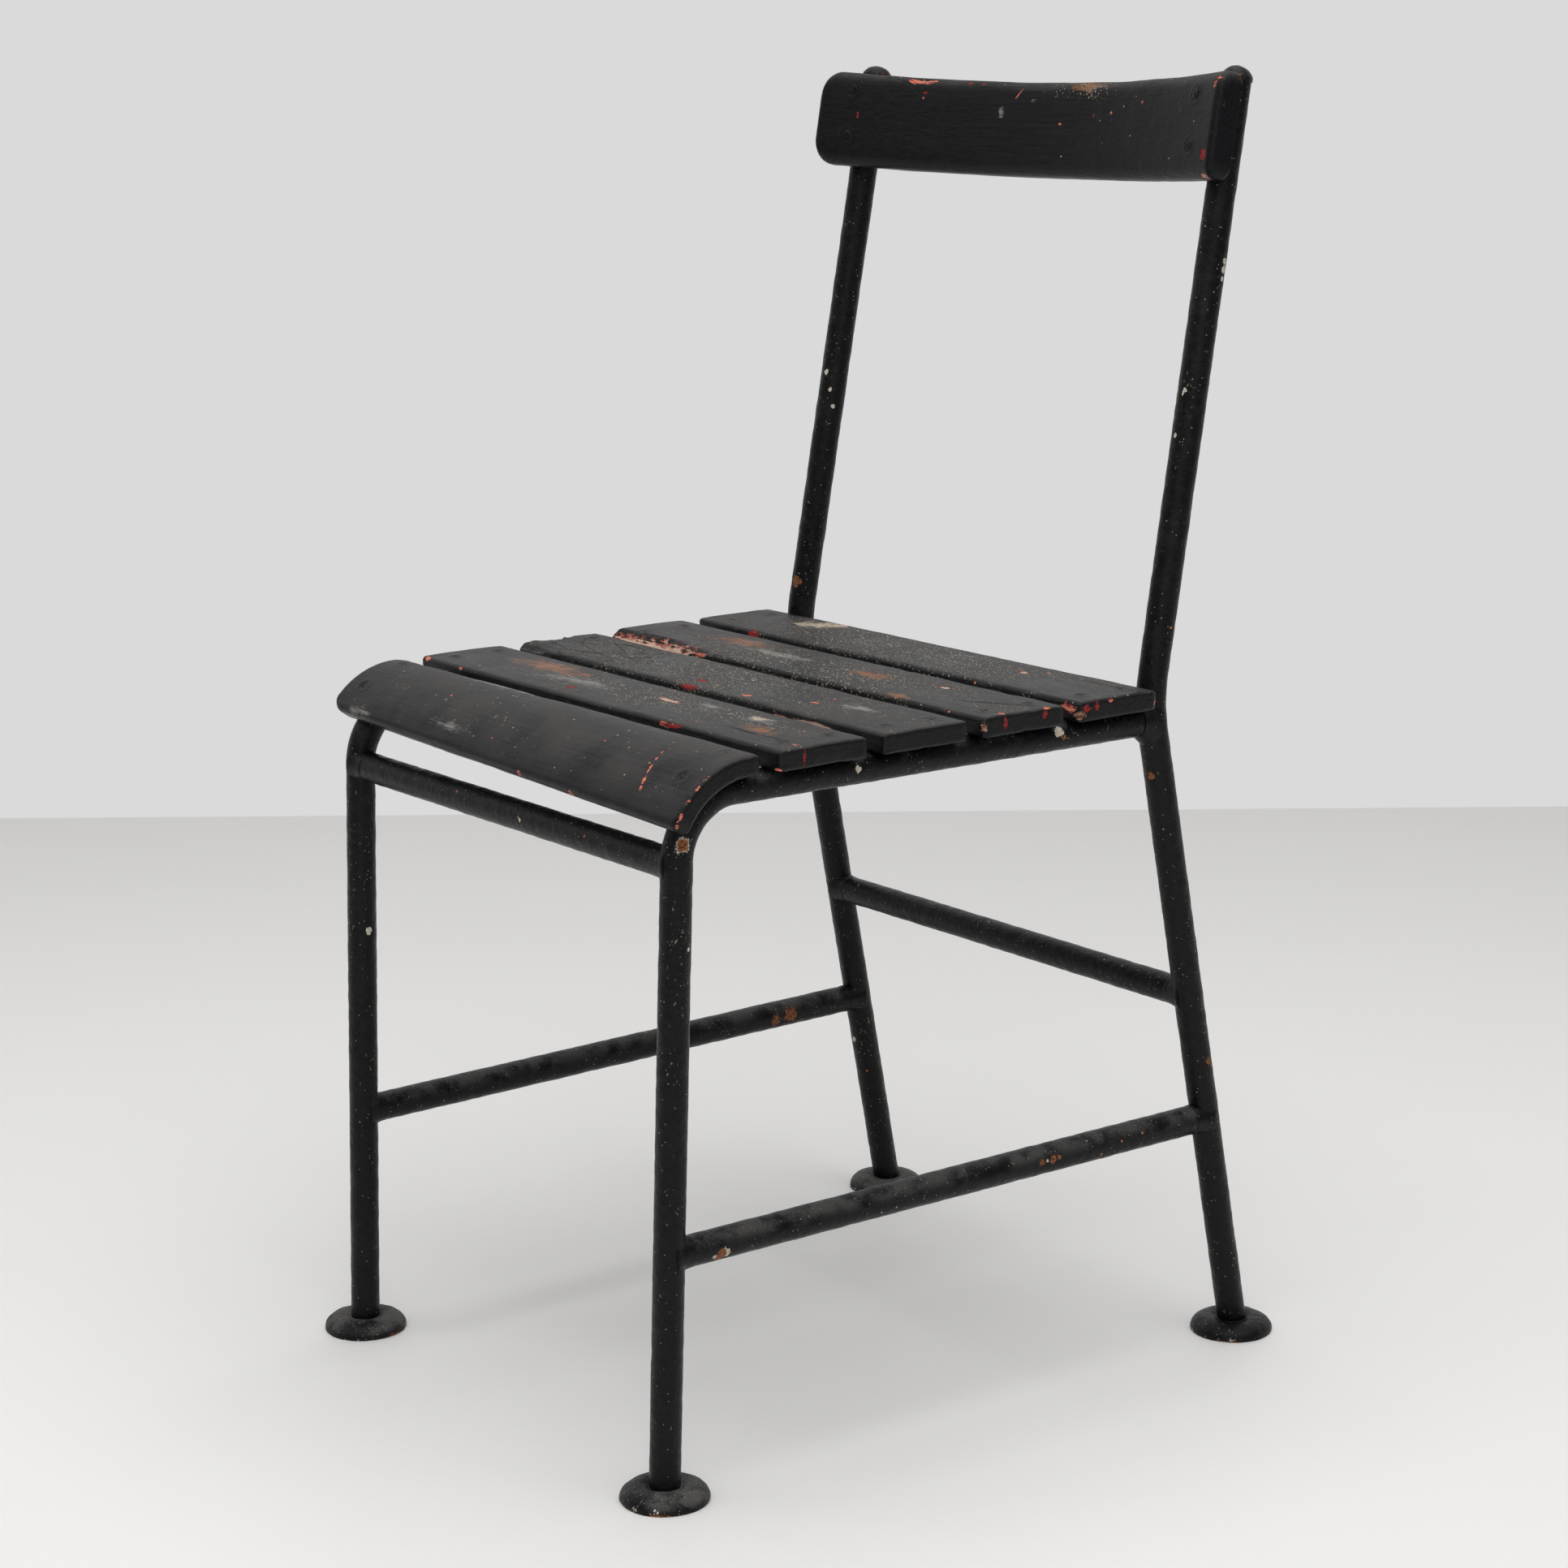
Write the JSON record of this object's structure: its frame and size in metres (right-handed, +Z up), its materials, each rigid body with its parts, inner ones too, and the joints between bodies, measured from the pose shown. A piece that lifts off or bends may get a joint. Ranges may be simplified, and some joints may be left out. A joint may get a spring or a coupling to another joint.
{
  "type": "garden chair",
  "caption": "Garden chair of welded round tube with a slatted wooden seat, rounded over at the front, a bowed wooden back board and round domed feet.",
  "frame": {"origin": "on the floor, midway between the four feet", "axes": "+Z up; the sitter faces -Y; +X is the sitter's left"},
  "size_m": [0.4262, 0.513, 0.8325],
  "materials": {
    "frame_paint": "thick brushed black paint, lumpy, with rust at chips",
    "board_paint": "brushed black paint over old coral and red coats, chipped to bare wood at edges",
    "screw_paint": "painted-over countersunk heads"
  },
  "bodies": {
    "root": {"back_rest": "board_paint", "back_rest_screws": "screw_paint", "foot_front_left": "frame_paint", "foot_front_right": "frame_paint", "foot_rear_left": "frame_paint", "foot_rear_right": "frame_paint", "front_cross_rail": "frame_paint", "front_cross_rail_welds": "frame_paint", "front_leg_rail_left": "frame_paint", "front_leg_rail_right": "frame_paint", "front_seat_slat": "board_paint", "front_seat_slat_screws": "screw_paint", "rear_leg_upright_left": "frame_paint", "rear_leg_upright_right": "frame_paint", "rear_stretcher": "frame_paint", "rear_stretcher_welds": "frame_paint", "seat_rail_welds": "frame_paint", "seat_slat_2": "board_paint", "seat_slat_2_screws": "screw_paint", "seat_slat_3": "board_paint", "seat_slat_3_screws": "screw_paint", "seat_slat_4": "board_paint", "seat_slat_4_screws": "screw_paint", "seat_slat_5": "board_paint", "seat_slat_5_screws": "screw_paint", "side_stretcher_left": "frame_paint", "side_stretcher_right": "frame_paint", "side_stretcher_welds_left": "frame_paint", "side_stretcher_welds_right": "frame_paint", "upright_cap_left": "frame_paint", "upright_cap_right": "frame_paint"}
  },
  "joints": []
}
